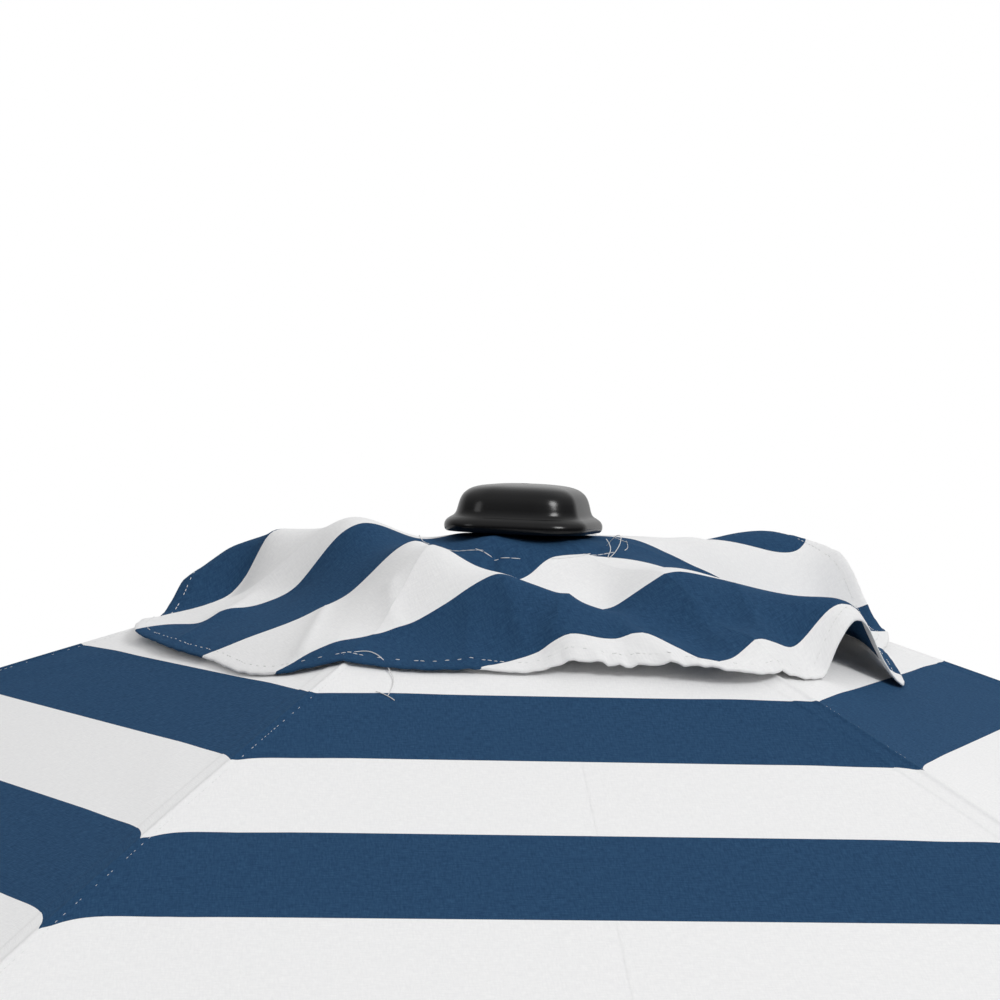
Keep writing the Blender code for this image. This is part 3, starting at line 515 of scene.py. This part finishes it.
def flap_sheet(number, hand, side):
    middle = 2 * HALF_GORE * (number - 1)
    reach = np.linspace(0, HALF_GORE, FLAP_COLUMNS + 1)
    angles = (middle + (reach if side > 0 else -reach[::-1]))[None] % math.tau
    edge = flap_edge(angles)
    share = np.linspace(0, 1, FLAP_ROWS)[:, None] ** 0.9
    radius = FLAP_HOLE + (edge - FLAP_HOLE) * share
    top = flap_points(angles + 0 * radius, radius, edge)
    stripe = flap_stripe(top[..., 0], top[..., 1])
    uvs = np.stack([top[..., 0] * 0.96 + top[..., 1] * 0.28, stripe * STRIPE_PITCH], -1)
    fold, fold_uvs = [], []
    for inward, down in ((-0.0005, 0.0004), (-0.0006, 0.0010), (0.0000, 0.0015), (0.004, 0.0016),
                         (FLAP_HEM, 0.0016)):
        row = flap_points(angles, edge - inward, edge)[0]
        row[:, 2] -= down
        fold.append(row)
        fold_uvs.append(uvs[-1] + (0.2, inward + down))
    points = np.concatenate([top, np.array(fold)])
    return grid_mesh(f"vent_flap_{number}_{hand}", points, np.concatenate([uvs, np.array(fold_uvs)]), cloth)


for number in range(1, RIBS + 1):
    for hand, side in HANDS.items():
        flap = add_piece(f"vent_flap_{number}_{hand}", flap_sheet(number, hand, side))
        give_thickness(flap)
        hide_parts(f"vent_section_{number}")
        ride_on_rib(flap, number, side)


# Finial: a hollow cap, injection moulded in black ABS, that screws down on the crown over the flap. Its body
# is a soft square pillow that stands on a wide stepped flange.

FINIAL_TURN = math.radians(-22)
FINIAL_OUTLINE = [  # half the side of the square, and height over the foot, in millimetres
    (56.0, 0.0), (57.2, 1.2), (57.8, 3.4), (57.6, 6.2), (56.2, 8.8), (53.8, 10.8), (51.6, 12.2), (50.0, 14.0),
    (49.0, 16.6), (48.2, 20.0), (47.0, 24.4), (45.2, 28.4), (42.6, 31.4), (38.6, 34.0), (32.6, 35.9),
    (24.0, 37.1), (14.0, 37.8), (4.0, 38.0),
]
FINIAL_WALL = 2.5
CORNER_SHARE = 0.62
CORNER_POINTS = 14
FINIAL_SMOOTH_ANGLE = math.radians(50)
PLASTIC_GRAIN = 0.0012


def soft_square(half_side, z):
    """A square ring with round corners, turned as the finial stands."""
    radius = CORNER_SHARE * half_side
    ring = []
    for corner in range(4):
        for i in range(CORNER_POINTS):
            a = math.pi / 2 * (corner + i / (CORNER_POINTS - 1))
            sx = 1 if corner in (0, 3) else -1
            sy = 1 if corner in (0, 1) else -1
            x = sx * (half_side - radius) + radius * math.cos(a)
            y = sy * (half_side - radius) + radius * math.sin(a)
            ring.append((x * math.cos(FINIAL_TURN) - y * math.sin(FINIAL_TURN),
                         x * math.sin(FINIAL_TURN) + y * math.cos(FINIAL_TURN), z))
    return ring


def finer(stations, steps):
    """More stations on a smooth curve through the given ones."""
    known = np.array(stations, float)
    before, after = np.vstack([known[:1], known[:-1]]), np.vstack([known[1:], known[-1:]])
    slope = (after - before) / 2
    made = []
    for i in range(len(known) - 1):
        for u in np.arange(steps) / steps:
            made.append((2 * u**3 - 3 * u**2 + 1) * known[i] + (u**3 - 2 * u**2 + u) * slope[i]
                        + (3 * u**2 - 2 * u**3) * known[i + 1] + (u**3 - u**2) * slope[i + 1])
    return made + [known[-1]]


def hollow_cap(name, rings, material):
    """A hollow body through rings of as many points each, the last joined to the first, faces outward."""
    bm = bmesh.new()
    made = [[bm.verts.new(p) for p in ring] for ring in rings]
    count = len(rings[0])
    for low, high in zip(made, made[1:] + made[:1]):
        for i in range(count):
            bm.faces.new([low[i], low[(i + 1) % count], high[(i + 1) % count], high[i]])
    bmesh.ops.remove_doubles(bm, verts=bm.verts, dist=1e-6)
    bmesh.ops.recalc_face_normals(bm, faces=bm.faces)
    mesh = bpy.data.meshes.new(name)
    bm.to_mesh(mesh)
    bm.free()
    mesh.materials.append(material)
    mesh.shade_smooth()
    mesh.set_sharp_from_angle(angle=FINIAL_SMOOTH_ANGLE)
    return mesh


def moulded_plastic(name, dark, light, roughness, bump, specular=0.5):
    """Injection-moulded plastic: a fine spark-eroded grain, faint flow marks and slightly uneven gloss."""
    material, tree, shader = new_material(name, Specular_IOR_Level=specular)
    place = add_node(tree, "ShaderNodeTexCoord")
    fine = add_node(tree, "ShaderNodeTexNoise", {"Vector": place.outputs["Object"],
                                                 "Scale": 1 / PLASTIC_GRAIN, "Detail": 3.0})
    flow = add_node(tree, "ShaderNodeTexNoise", {"Vector": place.outputs["Object"], "Scale": 35.0,
                                                 "Detail": 4.0, "Distortion": 0.6})
    tone = add_node(tree, "ShaderNodeMix", {0: flow.outputs["Fac"], 6: colour(dark), 7: colour(light)},
                    data_type="RGBA")
    tree.links.new(tone.outputs[2], shader.inputs["Base Color"])
    gloss = add_node(tree, "ShaderNodeMapRange", {0: flow.outputs["Fac"], 3: roughness - 0.035,
                                                  4: roughness + 0.05})
    tree.links.new(gloss.outputs[0], shader.inputs["Roughness"])
    relief = add_node(tree, "ShaderNodeBump", {"Height": fine.outputs["Fac"], "Strength": bump,
                                               "Distance": 0.0002})
    tree.links.new(relief.outputs[0], shader.inputs["Normal"])
    return material


black_abs = moulded_plastic("satin black ABS", "#060607", "#0e0e10", 0.20, bump=0.06, specular=0.3)
finial_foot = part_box("finial")[0].z
outside = [(half, z) for half, z in finer(FINIAL_OUTLINE, 4)]
inside = [(max(half - FINIAL_WALL, 1.0), max(z - FINIAL_WALL, 0.0)) for half, z in outside]
finial_rings = [soft_square(half * MM, finial_foot + z * MM) for half, z in outside]
finial_rings += [soft_square(half * MM, finial_foot + z * MM) for half, z in reversed(inside)]
finial = add_piece("finial_cap", hollow_cap("finial_cap", finial_rings, black_abs))
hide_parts("finial")
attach(finial, "upper_pole")


# Sewing: white polyester thread. It topstitches the canopy's hem and the ribs' seams, the flap's hem, and a
# ring round the finial that tacks the flap to the canopy. Some stitches are missing, as if they had sunk
# into the cloth.

STITCH_LENGTH = 0.0032
STITCH_SPACING = 0.0042
THREAD_RADIUS = 0.00035  # nearly three times that of a real 0.25 mm thread, so that it shows
FLAP_STITCH_INSET = 0.008
RING_STITCH_R = 0.083
LINE_POINTS = 120
RING_POINTS = 80  # the ring is sewn on the two thirds of each half gore that lie nearest its rib
HEM_STITCH_INSET = 0.013
SEAM_STITCH_ASIDE = 0.0040


def stitching_tree():
    """Stitches along a line of edges: long thin beads of thread, end to end, with some left out."""
    tree = bpy.data.node_groups.new("stitching", "GeometryNodeTree")
    for name, kind in (("Seam line", "Geometry"), ("Spacing", "Float"), ("Stitch length", "Float"),
                       ("Thread radius", "Float"), ("Share missing", "Float"), ("Seed", "Int"),
                       ("Thread", "Material")):
        tree.interface.new_socket(name, in_out="INPUT", socket_type=f"NodeSocket{kind}")
    tree.interface.new_socket("Stitches", in_out="OUTPUT", socket_type="NodeSocketGeometry")
    given = add_node(tree, "NodeGroupInput").outputs
    line = add_node(tree, "GeometryNodeMeshToCurve", {"Mesh": given["Seam line"]})
    places = add_node(tree, "GeometryNodeCurveToPoints", {"Curve": line.outputs[0],
                                                          "Length": given["Spacing"]}, mode="LENGTH")
    missing = add_node(tree, "FunctionNodeRandomValue", {"Probability": given["Share missing"],
                                                         "Seed": given["Seed"]}, data_type="BOOLEAN")
    kept = add_node(tree, "GeometryNodeDeleteGeometry", {"Geometry": places.outputs["Points"],
                                                         "Selection": missing.outputs[3]})
    bead = add_node(tree, "GeometryNodeMeshUVSphere", {"Segments": 6, "Rings": 4, "Radius": 1.0})
    half_length = add_node(tree, "ShaderNodeMath", {0: given["Stitch length"], 1: 0.5}, operation="MULTIPLY")
    bead_size = add_node(tree, "ShaderNodeCombineXYZ", {0: given["Thread radius"], 1: given["Thread radius"],
                                                        2: half_length.outputs[0]})
    stitch = add_node(tree, "GeometryNodeTransform", {"Geometry": bead.outputs["Mesh"],
                                                      "Scale": bead_size.outputs[0]})
    pull = add_node(tree, "FunctionNodeRandomValue", {2: 0.82, 3: 1.12, "Seed": given["Seed"]},
                    data_type="FLOAT")
    sewn = add_node(tree, "GeometryNodeInstanceOnPoints", {
        "Points": kept.outputs[0], "Instance": stitch.outputs[0], "Rotation": places.outputs["Rotation"],
        "Scale": pull.outputs[1],
    })
    real = add_node(tree, "GeometryNodeRealizeInstances", {0: sewn.outputs[0]})
    rounded = add_node(tree, "GeometryNodeSetShadeSmooth", {0: real.outputs[0]})
    dyed = add_node(tree, "GeometryNodeSetMaterial", {"Geometry": rounded.outputs[0],
                                                      "Material": given["Thread"]})
    add_node(tree, "NodeGroupOutput", {0: dyed.outputs[0]})
    return tree


def sewing_thread():
    """Spun polyester thread: white and matt, faintly uneven in tone from ply to ply."""
    material, tree, shader = new_material("white polyester thread", Roughness=0.7, Specular_IOR_Level=0.2)
    place = add_node(tree, "ShaderNodeTexCoord")
    ply = add_node(tree, "ShaderNodeTexNoise", {"Vector": place.outputs["Object"], "Scale": 1500.0})
    tone = add_node(tree, "ShaderNodeMix", {0: ply.outputs["Fac"], 6: colour("#cfcfcf"),
                                            7: colour("#fafafa")}, data_type="RGBA")
    tree.links.new(tone.outputs[2], shader.inputs["Base Color"])
    return material


stitching = stitching_tree()
thread = sewing_thread()
stitching_inputs = {item.name: item.identifier for item in stitching.interface.items_tree
                    if item.in_out == "INPUT"}


def plain_mesh(piece):
    """The piece's finished shape, with its modifiers or its curve's thickness taken in."""
    bpy.context.view_layer.update()
    return bpy.data.meshes.new_from_object(piece.evaluated_get(bpy.context.evaluated_depsgraph_get()))


def sew(name, lines, number, side, missing, length=STITCH_LENGTH, spacing=STITCH_SPACING,
        radius=THREAD_RADIUS):
    """Stitches along lines of points, which move with the rib."""
    line_mesh = bpy.data.meshes.new(name)
    points, edges = [], []
    for line in lines:
        edges += [(len(points) + i, len(points) + i + 1) for i in range(len(line) - 1)]
        points += [tuple(map(float, point)) for point in line]
    line_mesh.from_pydata(points, edges, [])
    sewing = add_piece(name, line_mesh)
    maker = sewing.modifiers.new("stitching", "NODES")
    maker.node_group = stitching
    for label, value in (("Spacing", spacing), ("Stitch length", length), ("Thread radius", radius),
                         ("Share missing", missing), ("Seed", number), ("Thread", thread)):
        maker[stitching_inputs[label]] = value
    finished = plain_mesh(sewing)
    sewing.modifiers.clear()
    sewing.data = finished
    ride_on_rib(sewing, number, side)


def on_canopy(number, apothem, across, over):
    """A point on the main canopy near a rib: its distance out, and to the side of the rib, in metres."""
    turn = 2 * HALF_GORE * (number - 1)
    side = -1.0 if across < 0 else 1.0
    heading = turn + side * HALF_GORE
    sideways = (apothem * math.tan(HALF_GORE) - abs(across)) * -side
    return (apothem * math.cos(heading) - sideways * math.sin(heading),
            apothem * math.sin(heading) + sideways * math.cos(heading),
            canopy_z(apothem / math.cos(HALF_GORE)) + over)


for number in range(1, RIBS + 1):
    turn = 2 * HALF_GORE * (number - 1)
    apothem_hem = HEM_R * math.cos(HALF_GORE)
    half_side = apothem_hem * math.tan(HALF_GORE)
    for hand, side in HANDS.items():
        around = (turn + side * np.linspace(0, HALF_GORE, LINE_POINTS)) % math.tau
        edge = flap_edge(around)
        hem_line = flap_points(around, edge - FLAP_STITCH_INSET, edge)
        ring_radius = np.full(RING_POINTS, RING_STITCH_R)
        ring_line = flap_points(around[:RING_POINTS], ring_radius, edge[:RING_POINTS])
        hem_line[:, 2] += 0.0004
        ring_line[:, 2] += 0.0005
        sew(f"flap_stitches_{number}_{hand}", [hem_line], number, side, 0.35)
        sew(f"finial_ring_stitches_{number}_{hand}", [ring_line], number, side, 0.04, length=0.0078,
            spacing=0.0066, radius=0.0004)
        lines = [[on_canopy(number, apothem_hem - HEM_STITCH_INSET, side * c, 0.0015)
                  for c in np.linspace(0.004, half_side, 40)]]
        if side > 0:
            outward = np.linspace(HOLE_R * math.cos(HALF_GORE) + 0.03, apothem_hem - 0.004, 90)
            lines.append([on_canopy(number, a, SEAM_STITCH_ASIDE, 0.0005) for a in outward])
        sew(f"canopy_stitches_{number}_{hand}", lines, number, side, 0.5, length=0.0024, radius=0.00017)


# Loose ends of the same spun polyester: two hang where the sewing of the flap's hem stopped, and a loop was
# left beside the finial. They are held only by the last stitch of their seam.

LOOSE_THREADS = {  # points in millimetres from the canopy's virtual apex, and the rib whose cloth holds them
    "loose_thread_front": (5, [(-150, -254, -83.2), (-136, -248, -79.5), (-124, -256, -83.0),
                               (-118, -268, -92.4), (-115, -284, -98.0), (-121, -302, -105.0)]),
    "loose_thread_tuft": (5, [(-129, -297, -103.0), (-122, -301, -104.4), (-117, -309, -107.5)]),
    "loose_loop_finial": (6, [(62, -37, -15), (66, -46, -7), (70, -58, -5), (68, -66, -13), (61, -69, -22),
                              (58, -66, -23), (63, -60, -15), (59, -52, -9)]),
}
LOOSE_RADIUS = 0.00032

for name, (number, places) in LOOSE_THREADS.items():
    curve = bpy.data.curves.new(name, "CURVE")
    curve.dimensions = "3D"
    curve.bevel_depth = LOOSE_RADIUS
    curve.bevel_resolution = 1
    curve.resolution_u = 8
    curve.use_fill_caps = True
    line = curve.splines.new("NURBS")
    line.points.add(len(places) - 1)
    line.order_u = 3
    line.use_endpoint_u = True
    for point, place in zip(line.points, places):
        point.co = (place[0] * MM, place[1] * MM, APEX_Z + place[2] * MM, 1)
    strand = add_piece(name, curve)
    loose_mesh = plain_mesh(strand)
    bpy.data.objects.remove(strand)
    loose_mesh.materials.clear()
    loose_mesh.materials.append(thread)
    loose_mesh.shade_smooth()
    ride_on_rib(add_piece(name, loose_mesh), number, HANDS["left"])


# Hard parts: extruded and moulded fittings keep the shapes they were designed with. Each one's facets are
# joined into one skin, smooth round its curves and crisp at its edges, and gets the finish it is made in.

SMOOTH_ANGLE = math.radians(32)


def metal_finish(name, dark, light, roughness, grain, bump, metallic=1.0, stretched=1.0):
    """A metal surface with a fine grain, drawn out along the part by stretched, and uneven gloss."""
    material, tree, shader = new_material(name, Metallic=metallic)
    place = add_node(tree, "ShaderNodeTexCoord")
    drawn = add_node(tree, "ShaderNodeMapping", {"Vector": place.outputs["Object"],
                                                 "Scale": (1, 1, 1 / stretched)})
    fine = add_node(tree, "ShaderNodeTexNoise", {"Vector": drawn.outputs[0], "Scale": 1 / grain,
                                                 "Detail": 4.0})
    patches = add_node(tree, "ShaderNodeTexNoise", {"Vector": drawn.outputs[0], "Scale": 22.0,
                                                    "Detail": 5.0})
    tone = add_node(tree, "ShaderNodeMix", {0: patches.outputs["Fac"], 6: colour(dark), 7: colour(light)},
                    data_type="RGBA")
    tree.links.new(tone.outputs[2], shader.inputs["Base Color"])
    gloss = add_node(tree, "ShaderNodeMapRange", {0: fine.outputs["Fac"], 3: roughness - 0.07,
                                                  4: roughness + 0.09})
    tree.links.new(gloss.outputs[0], shader.inputs["Roughness"])
    relief = add_node(tree, "ShaderNodeBump", {"Height": fine.outputs["Fac"], "Strength": bump,
                                               "Distance": 0.0002})
    tree.links.new(relief.outputs[0], shader.inputs["Normal"])
    return material


FINISHES = {
    # Extruded 6063 aluminium, etched and clear anodised: satin, with faint lines along the draw.
    "pole": metal_finish("satin anodised aluminium", "#bfc1c4", "#d6d8da", 0.34, 0.0009, 0.10, stretched=40),
    # Polyester powder coat, baked: white, half gloss, with the shallow dimples of orange peel.
    "rib": metal_finish("white powder coat", "#dadad7", "#e8e8e5", 0.38, 0.0011, 0.16, metallic=0.0),
    "bracket": metal_finish("white powder coat on pressings", "#d6d6d3", "#e6e6e3", 0.40, 0.0011, 0.16,
                            metallic=0.0),
    # Bright zinc plate: soft grey, mottled where the passivation is thicker.
    "steel": metal_finish("bright zinc plated steel", "#9a9b9e", "#c4c5c7", 0.30, 0.0016, 0.08),
    # Glass-filled nylon, moulded: matt black, with a spark-eroded grain.
    "fitting": moulded_plastic("black glass-filled nylon", "#0d0d0e", "#1c1c1e", 0.48, bump=0.25),
    "rib_tip": moulded_plastic("black nylon rib tip", "#0e0e0f", "#1d1d1f", 0.46, bump=0.2),
    # Polypropylene, moulded: mid grey, waxy, a shade uneven where the melt flowed.
    "anchor": moulded_plastic("grey polypropylene", "#9b9da0", "#aeb0b2", 0.44, bump=0.2),
    "button": moulded_plastic("grey acetal button", "#9a9c9f", "#a9abad", 0.36, bump=0.1),
}
finish_of = {part["node"]: part["material_slot"] for part in frame["record"]["subparts"]}


def finished_part(node):
    """The part's own shape in one skin, with its finish."""
    source = frame["nodes"][node]
    bm = bmesh.new()
    bm.from_mesh(source.data)
    bmesh.ops.remove_doubles(bm, verts=bm.verts, dist=1e-6)
    bmesh.ops.dissolve_limit(bm, angle_limit=math.radians(0.6), verts=bm.verts, edges=bm.edges)
    mesh = bpy.data.meshes.new(f"{node}_finished")
    bm.to_mesh(mesh)
    bm.free()
    mesh.materials.clear()
    mesh.materials.append(FINISHES[finish_of[node]])
    mesh.shade_smooth()
    mesh.set_sharp_from_angle(angle=SMOOTH_ANGLE)
    made = add_piece(f"{node}_finished", mesh)
    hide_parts(node)
    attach(made, source["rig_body"])
    if node == "button_spring":
        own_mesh(made)


for node, slot_name in finish_of.items():
    if slot_name in FINISHES:
        finished_part(node)
